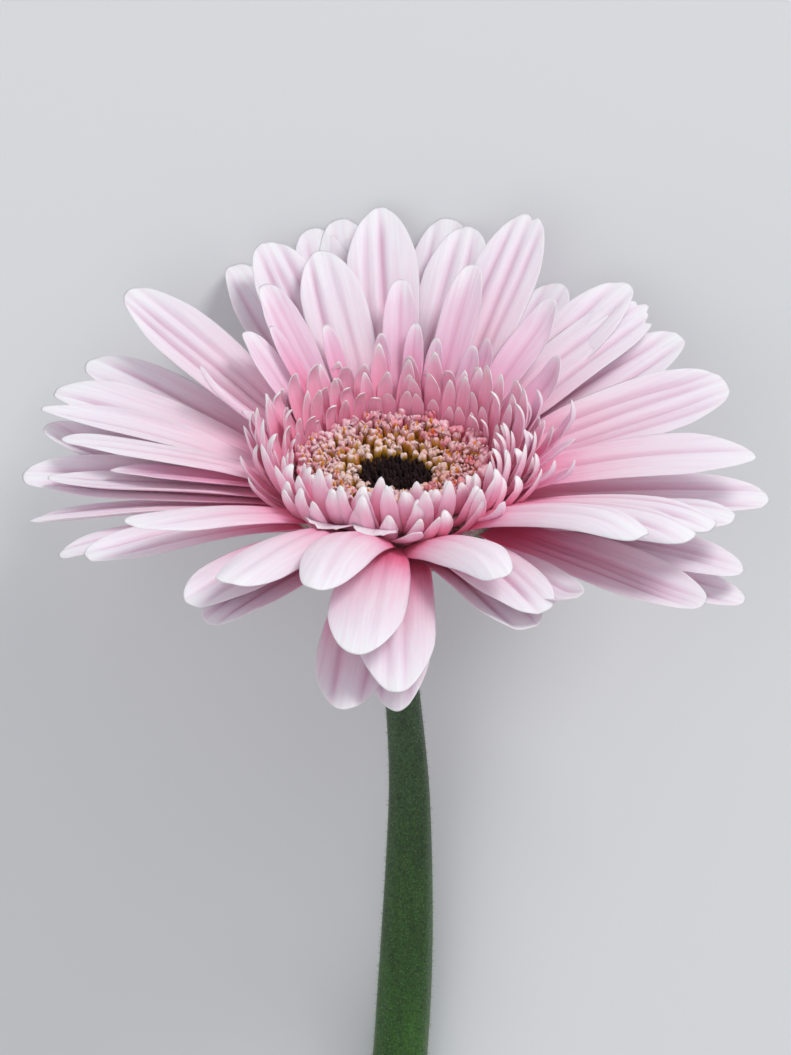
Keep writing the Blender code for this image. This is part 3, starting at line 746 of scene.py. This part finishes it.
for i, (row, look) in enumerate(SMALLEST_PETALS):
    look = {**CUPPED, "rosy": 0.2, **look}
    verts, faces, where, paint = blade(row, look, SMALLEST_THICK, SMALLEST_GRID, 200 + i)
    heap.append((seated(verts, row), faces, where, paint))


def joined(heap):
    """Several sets of vertices, faces and attributes as one."""
    starts = np.cumsum([0] + [len(part[0]) for part in heap])
    columns = list(zip(*heap))
    faces = [tuple(i + start for i in face) for start, part in zip(starts, columns[1]) for face in part]
    return np.vstack(columns[0]), faces, *(np.vstack(column) for column in columns[2:])


verts, faces, where, paint = joined(heap)
smallest = make_piece("smallest_rays", verts, faces, inner_tissue, where=where, paint=paint)
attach(smallest, "root")


# Crown
# The trans florets: a dense fringe of short boat-shaped petals in four rows round the disc. Each
# is folded up at the edges, pink inside and paler outside, with a white tip that hooks in.

crown_tissue = petal_finish("crown_tissue", (
    (0.0, "#f57fa2"), (0.3, "#fca2c0"), (0.6, "#feb6d0"), (0.82, "#fecde0"), (0.94, "#feecf3"),
    (1.0, "#ffffff")), under="#fee2ec", tint="#fbcbde", deep=0.2, under_mix=0.15, outside=0.1,
    glow=0.3, reach=0.35)
CROWN_THICK = 0.34
CROWN_GRID = (15, 9)
FRINGE = dict(claw=0.75, widest=0.5, grooves=((0.0, 0.5),), groove_depth=0.1)
CROWN_SHAPES = (  # length, width, curl, look
    (12.0, 3.5, 46, dict(cup=0.42, tip_cup=0.4, tip_bend=45, point=1.9)),
    (11.0, 3.2, 40, dict(cup=0.5, tip_cup=0.3, tip_bend=20, point=1.7)),
    (12.4, 3.3, 50, dict(cup=0.4, tip_cup=0.5, tip_bend=10, point=1.7)),
    (10.6, 3.4, 38, dict(cup=0.42, tip_cup=0.3, tip_bend=75, point=2.1)),
    (11.6, 3.1, 44, dict(cup=0.55, tip_cup=0.4, tip_bend=0, point=1.5, twist=15)),
    (11.2, 3.6, 42, dict(cup=0.36, tip_cup=0.6, tip_bend=35, point=2.0, twist=-12)),
)
CROWN_ROWS = (  # name, count, radius, height, lean out in degrees, least and most size
    ("crown_skirt_row", 42, 16.4, 0.0, 57, 0.84, 1.04),
    ("crown_outer_row", 44, 16.0, 1.2, 46, 0.9, 1.1),
    ("crown_middle_row", 44, 15.5, 1.8, 34, 0.62, 0.84),
    ("crown_inner_row", 42, 14.8, 2.1, 27, 0.38, 0.58),
)


def template(name, verts, faces, **attributes):
    """A shape that a tree repeats, in its own frame."""
    return make_piece(name, verts * MM, faces, None, **attributes)


def kept_aside(name, shapes):
    """A collection of templates for a tree to pick from."""
    store = bpy.data.collections.new(name)
    bpy.context.scene.collection.children.link(store)
    for shape in shapes:
        bpy.context.scene.collection.objects.unlink(shape)
        store.objects.link(shape)
    return store


def clear_away(store):
    for shape in list(store.objects):
        bpy.data.objects.remove(shape)
    bpy.data.collections.remove(store)


def upright_blades(name, shapes, plain, thick, grid, seed):
    """Templates of small petals that stand up straight before their row leans them out."""
    made = []
    for i, (length, width, curl, look) in enumerate(shapes):
        row = (0, 90 + curl / 2, length, width, 0, curl, 0)
        verts, faces, where, paint = blade(row, {**plain, **look}, thick, grid, seed + i)
        made.append(template(f"{name}_{i}", verts, faces, where=where, paint=paint))
    return kept_aside(name + "s", made)


def stand(tree, given, seat, round_by, turn, size):
    """Turns each seat round the head, and stands a template on it, picked at random."""
    spot = add(tree, "ShaderNodeVectorRotate", {"Vector": seat, "Angle": round_by}, rotation_type="Z_AXIS")
    points = add(tree, "GeometryNodePoints", {"Count": given["Count"], "Position": spot})
    last = add(tree, "ShaderNodeMath", {0: given["Kinds"], 1: 1.0}, operation="SUBTRACT")
    pick = add(tree, "FunctionNodeRandomValue", {4: 0, 5: last, "Seed": given["Seed"]}, data_type="INT")
    pieces = add(tree, "GeometryNodeCollectionInfo",
                 {"Collection": given["Pieces"], "Separate Children": True, "Reset Children": True})
    return add(tree, "GeometryNodeInstanceOnPoints",
               {"Points": points, "Instance": pieces, "Pick Instance": True, "Instance Index": pick,
                "Rotation": turn, "Scale": size})


def grow_on_head(tree, name, store, **values):
    """What a tree makes of the templates in a store, in the head's own frame."""
    made = grow(tree, name, Kinds=len(store.objects), Pieces=store, **values)
    made.data.transform(HEAD_PLACE)
    return made


PICKED = dict(
    Least_Size="Float", Most_Size="Float", Kinds="Int", Seed="Int", Pieces="Collection", Finish="Material")
tree, given = new_tree(
    "ring", Front="Float", Count="Int", Phase="Float", Seat="Vector", Seat_Spread="Vector",
    Lean="Vector", Lean_Spread="Vector", **PICKED)
ring_tree = tree
index = add(tree, "GeometryNodeInputIndex")
step = add(tree, "ShaderNodeMath", {0: 2 * math.pi, 1: given["Count"]}, operation="DIVIDE")
round_by = add(tree, "ShaderNodeMath", {0: index, 1: step, 2: given["Phase"]}, operation="MULTIPLY_ADD")
spreads = []
for name, offset in (("Seat", 100.0), ("Lean", 200.0)):
    middle, spread = given[name], given[name + " Spread"]
    least = add(tree, "ShaderNodeVectorMath", {0: middle, 1: spread}, operation="SUBTRACT")
    most = add(tree, "ShaderNodeVectorMath", {0: middle, 1: spread}, operation="ADD")
    own = add(tree, "ShaderNodeMath", {0: given["Seed"], 1: offset}, operation="ADD")
    spreads.append(add(
        tree, "FunctionNodeRandomValue", {0: least, 1: most, "Seed": own}, data_type="FLOAT_VECTOR"))
seat, lean = spreads
turn = add(tree, "ShaderNodeCombineXYZ", {2: round_by})
turn = add(tree, "ShaderNodeVectorMath", {0: turn, 1: lean}, operation="ADD")
size = add(tree, "FunctionNodeRandomValue",
           {2: given["Least Size"], 3: given["Most Size"], "Seed": given["Seed"]}, data_type="FLOAT")
# With a Front under 0 the ones at the front, at -90 degrees from +X, are shorter than at the back
sine = add(tree, "ShaderNodeMath", {0: round_by}, operation="SINE")
taller = add(tree, "ShaderNodeMath", {0: sine, 1: given["Front"]}, operation="MULTIPLY")
taller = add(tree, "ShaderNodeMath", {0: 1.0, 1: taller}, operation="SUBTRACT")
size = add(tree, "ShaderNodeMath", {0: size, 1: taller}, operation="MULTIPLY")
broad = add(tree, "ShaderNodeMath", {0: size, 1: 0.5, 2: 0.5}, operation="MULTIPLY_ADD")
size = add(tree, "ShaderNodeCombineXYZ", {0: size, 1: broad, 2: size})
dress(tree, given, stand(tree, given, seat, round_by, turn, size))

store = upright_blades("crown_shape", CROWN_SHAPES, {**CUPPED, **FRINGE}, CROWN_THICK, CROWN_GRID, 300)
for i, (name, count, radius, height, lean, least, most) in enumerate(CROWN_ROWS):
    row = grow_on_head(
        ring_tree, name, store, Count=count, Phase=0.4 * i, Seat=(radius * MM, 0, height * MM),
        Seat_Spread=(0.25 * MM, 0.5 * MM, 0.3 * MM), Lean=(0, math.radians(lean), 0),
        Lean_Spread=(0.14, 0.15, 0.3), Least_Size=least, Most_Size=most, Front=-0.05, Seed=21 + i,
        Finish=crown_tissue)
    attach(row, "root")
    if i == 0:
        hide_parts("crown_florets")
clear_away(store)


# Disc
# Some three hundred tube florets packed in a spiral round the eye, rosy at the rim and golden
# further in. They open from the rim inward, and the open ones push up columns of pollen.

GOLDEN_TURN = 2.39996
DISC_SPACING = 0.74
DISC_SLOPE = 0.33
LOBE_STANDS = 0.08  # how far a lobe stands out, in shares and mm
LOBE_THICK = 0.22


def tube(profile, sides, star=0.0):
    """A closed upright tube from (height, radius) pairs in mm, with five ridges for a star."""
    around = np.linspace(0, 2 * math.pi, sides, endpoint=False)
    rings = []
    for height, radius in profile:
        width = radius * (1 + star * np.cos(5 * around))
        rings.append(np.stack((width * np.cos(around), width * np.sin(around), 0 * around + height), -1))
    return loft(rings)


def strap(path, widths, thick, turn):
    """A small flat lobe along a path of (outward, height) points in mm, turned about Z."""
    rings = []
    for (outward, height), width in zip(path, widths):
        rings.append((
            (outward - thick / 2, 0, height), (outward, -width / 2, height),
            (outward + thick / 2, 0, height + thick / 2), (outward, width / 2, height)))
    verts, faces = loft(rings)
    return verts @ np.array(Matrix.Rotation(turn, 3, "Z")).T, faces


def floret(tall, girth, opened, column, seed):
    """One tube floret: a golden barrel held by three pale lobes that close over its top, or with a
    broad lip that curls out and two narrower ones that curl in. Paint x is 0 at its foot, 1 on its
    lobes and 2 on pollen."""
    rng = np.random.default_rng(seed)
    around = np.linspace(0, 2 * math.pi, 9, endpoint=False)
    lobe = np.tile((1.0, 1.0, 0.0), 3)
    uneven = rng.uniform(0.9, 1.1, 9)
    hood = 0.2 * np.cos(around - rng.uniform(0, 6.28))
    rings, share = [], []
    for height, radius, ragged, low, high in (
        (0, 0.36, 0, 0.0, 0.0), (0.5 * tall, girth * 0.84, 0, 0.25, 0.3), (tall, girth, 0.5, 0.4, 0.7),
        (tall + 0.36, girth * 0.92, 1, 0.5, 1.0), (tall + 0.6, girth * 0.6, 1, 0.85, 1.0),
        (tall + 0.66 - 0.2 * opened, girth * 0.15, 0, 0.95 - 0.3 * opened, 1.0 - 0.3 * opened),
    ):
        width = radius * (1 + ragged * (uneven - 1) + LOBE_STANDS * ragged * lobe)
        level = height + ragged * (hood + LOBE_STANDS * lobe + 0.5 * (uneven - 1))
        rings.append(np.stack((width * np.cos(around), width * np.sin(around), level), -1))
        share += list(low + (high - low) * lobe)
    verts, faces = loft(rings)
    heap = [(verts, faces, np.array(share + [0.0, share[-1]])[:, None])]
    if opened > 0.4:
        lip = ((0.8, 0), (1.1, 0.5), (1.6, 0.85), (2.2, 0.6))  # out in girths, up from the top
        curl = ((0.8, 0), (1.0, 0.6), (0.5, 1.1))
        for path, widths, turn in (
            (lip, (0.9, 1.15, 1.1, 0.5), 0.0), (curl, (0.6, 0.75, 0.3), 2.3), (curl, (0.6, 0.75, 0.3), 4.0),
        ):
            path = [(girth * outward, tall + up) for outward, up in path]
            verts, faces = strap(path, widths, LOBE_THICK, turn + rng.uniform(-0.3, 0.3))
            heap.append((verts, faces, np.linspace(0.8, 1.0, len(verts))[:, None]))
    if column:
        verts, faces = tube(((tall - 0.2, 0.18), (tall + column * 0.7, 0.2), (tall + column, 0.12)), 5)
        heap.append((verts, faces, np.full((len(verts), 1), 2.0)))
    verts, faces, share = joined(heap)
    return template("floret", verts, faces, paint=np.hstack((share, 0 * share, 0 * share + 1)))


tree, given = new_tree(
    "spiral", Count="Int", First="Float", Spacing="Float", Height="Float", Slope="Float",
    Lean="Float", Lean_Spread="Vector", Jitter="Vector", **PICKED)
spiral_tree = tree
index = add(tree, "GeometryNodeInputIndex")
order = add(tree, "ShaderNodeMath", {0: index, 1: given["First"]}, operation="ADD")
root = add(tree, "ShaderNodeMath", {0: order, 1: 0.5}, operation="POWER")
radius = add(tree, "ShaderNodeMath", {0: root, 1: given["Spacing"]}, operation="MULTIPLY")
height = add(tree, "ShaderNodeMath", {0: radius, 1: given["Slope"], 2: given["Height"]},
             operation="MULTIPLY_ADD")
lean = add(tree, "ShaderNodeMath", {0: radius, 1: given["Lean"]}, operation="MULTIPLY")
round_by = add(tree, "ShaderNodeMath", {0: order, 1: GOLDEN_TURN}, operation="MULTIPLY")
seat = add(tree, "ShaderNodeCombineXYZ", {0: radius, 2: height})
turn = add(tree, "ShaderNodeCombineXYZ", {1: lean, 2: round_by})
uneven = []
for straight, spread, offset in ((seat, given["Jitter"], 0.0), (turn, given["Lean Spread"], 50.0)):
    negative = add(tree, "ShaderNodeVectorMath", {0: spread, "Scale": -1.0}, operation="SCALE")
    own = add(tree, "ShaderNodeMath", {0: given["Seed"], 1: offset}, operation="ADD")
    by = add(tree, "FunctionNodeRandomValue", {0: negative, 1: spread, "Seed": own},
             data_type="FLOAT_VECTOR")
    uneven.append(add(tree, "ShaderNodeVectorMath", {0: straight, 1: by}, operation="ADD"))
size = add(tree, "FunctionNodeRandomValue",
           {2: given["Least Size"], 3: given["Most Size"], "Seed": given["Seed"]}, data_type="FLOAT")
seat, turn = uneven
florets = stand(tree, given, seat, round_by, turn, size)
shade = add(tree, "FunctionNodeRandomValue", {2: 0.0, 3: 1.0, "Seed": 77}, data_type="FLOAT")
dress(tree, given, add(
    tree, "GeometryNodeStoreNamedAttribute", {"Geometry": florets, "Name": "tint", "Value": shade},
    data_type="FLOAT", domain="INSTANCE"))


def floret_finish(name, stops, warm, warm_share, roughness=0.5):
    """Young floret tissue, moist and a little shiny, each floret its own shade. A fine meal on it
    is drawn 0.3 mm wide."""
    made, tree, shader = finish(
        name, Roughness=roughness, Subsurface_Weight=0.15, Subsurface_Radius=(0.5, 0.3, 0.2),
        Subsurface_Scale=0.5 * MM)
    scaled = add(tree, "ShaderNodeMath", {0: painted(tree, "paint")[0], 1: 0.5}, operation="MULTIPLY")
    base = add(tree, "ShaderNodeValToRGB", {0: scaled}, stops=stops)
    own = add(tree, "ShaderNodeAttribute", attribute_name="tint").outputs["Fac"]
    warmer = add(tree, "ShaderNodeMapRange", {0: own, 1: 1 - warm_share, 2: 1.0, 3: 0.0, 4: 0.8})
    where = add(tree, "ShaderNodeTexCoord").outputs["Object"]
    across = add(tree, "ShaderNodeSeparateXYZ", {0: where})
    rosier = add(tree, "ShaderNodeMapRange", {0: across, 1: -4 * MM, 2: 14 * MM, 3: 0.0, 4: 0.4})
    mix = add(tree, "ShaderNodeMath", {0: warmer, 1: rosier}, operation="ADD", use_clamp=True)
    warmed = add(tree, "ShaderNodeMix", {0: mix, 6: base, 7: linear(warm)}, **MULTIPLIED)
    meal = add(tree, "ShaderNodeTexNoise", {"Vector": where, "Scale": 1 / (0.3 * MM), "Detail": 2.0})
    cover(tree, shader, toned(tree, warmed, meal, 0.25, "#c9b9a8", 0.3, 0.6), meal, 0.3, 0.05)
    return made


# The first stop of each ramp, dark brown or deep pink at the foot of a floret, is painted shade deep among
# the packed florets
POLLEN = ((0.8, "#e8981c"), (1.0, "#f0a21e"))
open_tissue = floret_finish("open_floret_tissue", (
    (0.0, "#6e4a1c"), (0.12, "#a87a26"), (0.2, "#d29a2e"), (0.3, "#d9a850"), (0.4, "#e6a8aa"),
    (0.5, "#fadfe0"), *POLLEN), "#f6b4c0", 0.4)
young_tissue = floret_finish("young_floret_tissue", (
    (0.0, "#664a18"), (0.12, "#a07c24"), (0.2, "#c8982c"), (0.3, "#d2aa44"), (0.4, "#e6b8a8"),
    (0.5, "#fae6e2"), *POLLEN), "#f4c0b4", 0.3)
rim_tissue = floret_finish("rim_floret_tissue", (
    (0.0, "#cf7086"), (0.2, "#ea94a8"), (0.36, "#f0a8ba"), (0.46, "#f5c2ce"), (0.52, "#ffeef2"),
    *POLLEN), "#f8bcc8", 0.4)

# The bed that the florets stand on, in the dark of the floret feet: painted shade among them
BED = ((0.5, 14.5), (3.2, 14.5), (3.1, 13.6), (2.3, 11.0), (1.5, 8.4), (0.95, 6.2), (0.85, 3.0))
BED_SHADE = 0.15
verts, faces = tube(BED, 48)
bed = make_piece("disc_bed", verts * MM, faces, open_tissue, paint=verts * 0 + (BED_SHADE, 0, 0))
bed.data.transform(HEAD_PLACE)
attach(bed, "root")

DISC_ZONES = (  # name, finish, first, count, height, shapes: height, girth, openness, pollen, seed
    ("disc_young_florets", young_tissue, 62, 68, -1.75, (
        (2.2, 0.66, 0.0, 0.0, 410), (1.9, 0.68, 0.15, 0.0, 411), (2.1, 0.64, 0.3, 0.0, 412),
        (2.0, 0.62, 0.6, 0.0, 413))),
    ("disc_open_florets", open_tissue, 130, 150, -2.0, (
        (2.0, 0.58, 1.0, 1.3, 400), (1.9, 0.64, 0.7, 0.0, 401), (2.2, 0.56, 0.9, 1.5, 402),
        (1.9, 0.66, 0.3, 0.0, 403), (2.1, 0.58, 1.0, 0.0, 404), (2.2, 0.62, 0.2, 0.0, 405))),
    ("disc_rim_florets", rim_tissue, 280, 98, -2.2, (
        (2.1, 0.62, 0.7, 1.1, 420), (2.3, 0.7, 0.0, 0.0, 421), (1.9, 0.74, 0.1, 0.0, 422),
        (2.0, 0.64, 0.9, 0.0, 423), (1.7, 0.78, 0.0, 0.0, 424))),
)
for i, (name, material, first, count, height, shapes) in enumerate(DISC_ZONES):
    store = kept_aside(name, [floret(*shape) for shape in shapes])
    zone = grow_on_head(
        spiral_tree, name, store, Count=count, First=float(first), Spacing=DISC_SPACING * MM,
        Height=height * MM, Slope=DISC_SLOPE, Lean=9.0, Lean_Spread=(0.2, 0.2, 2.6),
        Jitter=(0.1 * MM, 0.1 * MM, 0.26 * MM), Least_Size=0.86, Most_Size=1.12, Seed=31 + i,
        Finish=material)
    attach(zone, "root")
    if i == 0:
        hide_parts("disc_florets")
    clear_away(store)


# Eye
# The middle of the disc: dark maroon buds that haven't opened, packed tight in the same spiral.

EYE_SPACING = 0.33
EYE_SHAPES = (  # profile of (height, radius), shade, how deep the five ridges are
    (((0, 0.25), (0.9, 0.32), (1.3, 0.3), (1.6, 0.18), (1.75, 0.06)), 0.6, 0.16),
    (((0, 0.25), (0.8, 0.3), (1.2, 0.33), (1.45, 0.22), (1.58, 0.07)), 0.9, 0.16),
    (((0, 0.25), (1.0, 0.28), (1.6, 0.22), (1.95, 0.1), (2.1, 0.03)), 0.4, 0.2),
)
eye_tissue = floret_finish("eye_bud_tissue", (
    (0.0, "#140508"), (0.3, "#240a0d"), (0.6, "#361316"), (1.0, "#4a2020")), "#8a6a70", 0.5, 0.95)


def bud(profile, shade, star):
    """A closed bud, paler towards its tip."""
    verts, faces = tube(profile, 8, star)
    paint = np.zeros((len(verts), 3))
    paint[:, 0] = shade + 0.25 * np.clip(verts[:, 2] / profile[-1][0], 0, 1)
    return template("bud", verts, faces, paint=paint)


store = kept_aside("eye_shapes", [bud(*shape) for shape in EYE_SHAPES])
eye = grow_on_head(
    spiral_tree, "eye_dark_buds", store, Count=300, First=0.5, Spacing=EYE_SPACING * MM, Height=0.5 * MM,
    Slope=0.03, Lean=20.0, Lean_Spread=(0.3, 0.3, 0.6), Jitter=(0.1 * MM, 0.1 * MM, 0.25 * MM),
    Least_Size=0.72, Most_Size=1.1, Seed=41, Finish=eye_tissue)
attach(eye, "root")
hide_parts("eye_buds")
clear_away(store)


# Bracts
# The involucre: three rows of small narrow green scales that clasp the receptacle from behind.

BRACT_THICK = 0.4
BRACT_GRID = (12, 7)
BRACT_LOOK = dict(widest=0.35, point=1.15, cup=0.25, grooves=((0.0, 0.8),), groove_width=0.2, ruffle=0.05)
BRACT_SHAPES = ((7.0, 2.3, 14, {}), (7.6, 2.0, 10, {}), (6.6, 2.1, 18, {}))  # as for the crown
BRACT_ROWS = (  # name, count, radius, height, lean
    ("bracts_low_row", 17, 4.4, -11.9, 64), ("bracts_middle_row", 24, 6.8, -10.7, 63),
    ("bracts_high_row", 30, 9.4, -9.2, 62),
)

# Scale tissue: a firm matt grey-green, darker along the middle and brown at the tip
bract_tissue, tree, shader = finish("bract_tissue", Roughness=0.6)
share, groove, _ = painted(tree, "paint")
on_blade = add(tree, "ShaderNodeAttribute", attribute_name="where").outputs["Vector"]
streak = grain(tree, on_blade, (3, 0.5, 1))
base = add(tree, "ShaderNodeValToRGB", {0: share}, stops=(
    (0.0, "#7d9468"), (0.5, "#5d7f4c"), (0.85, "#6c7f4a"), (1.0, "#8a6a58")))
lined = toned(tree, base, streak, 0.7, "#b4c0a4", 0.3, 0.65)
ribbed = add(tree, "ShaderNodeMix", {0: groove, 6: lined, 7: linear("#b9c99f")}, **MULTIPLIED)
cover(tree, shader, ribbed, streak, 0.4, 0.1)

store = upright_blades("bract_shape", BRACT_SHAPES, BRACT_LOOK, BRACT_THICK, BRACT_GRID, 500)
for i, (name, count, radius, height, lean) in enumerate(BRACT_ROWS):
    scales = grow_on_head(
        ring_tree, name, store, Count=count, Phase=0.3 * i, Seat=(radius * MM, 0, height * MM),
        Seat_Spread=(0.2 * MM, 0.2 * MM, 0.12 * MM), Lean=(0, math.radians(lean), 0),
        Lean_Spread=(0.06, 0.05, 0.1), Least_Size=0.9, Most_Size=1.1, Seed=51 + i, Finish=bract_tissue)
    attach(scales, "root")
    if i == 0:
        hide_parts("bracts")
clear_away(store)
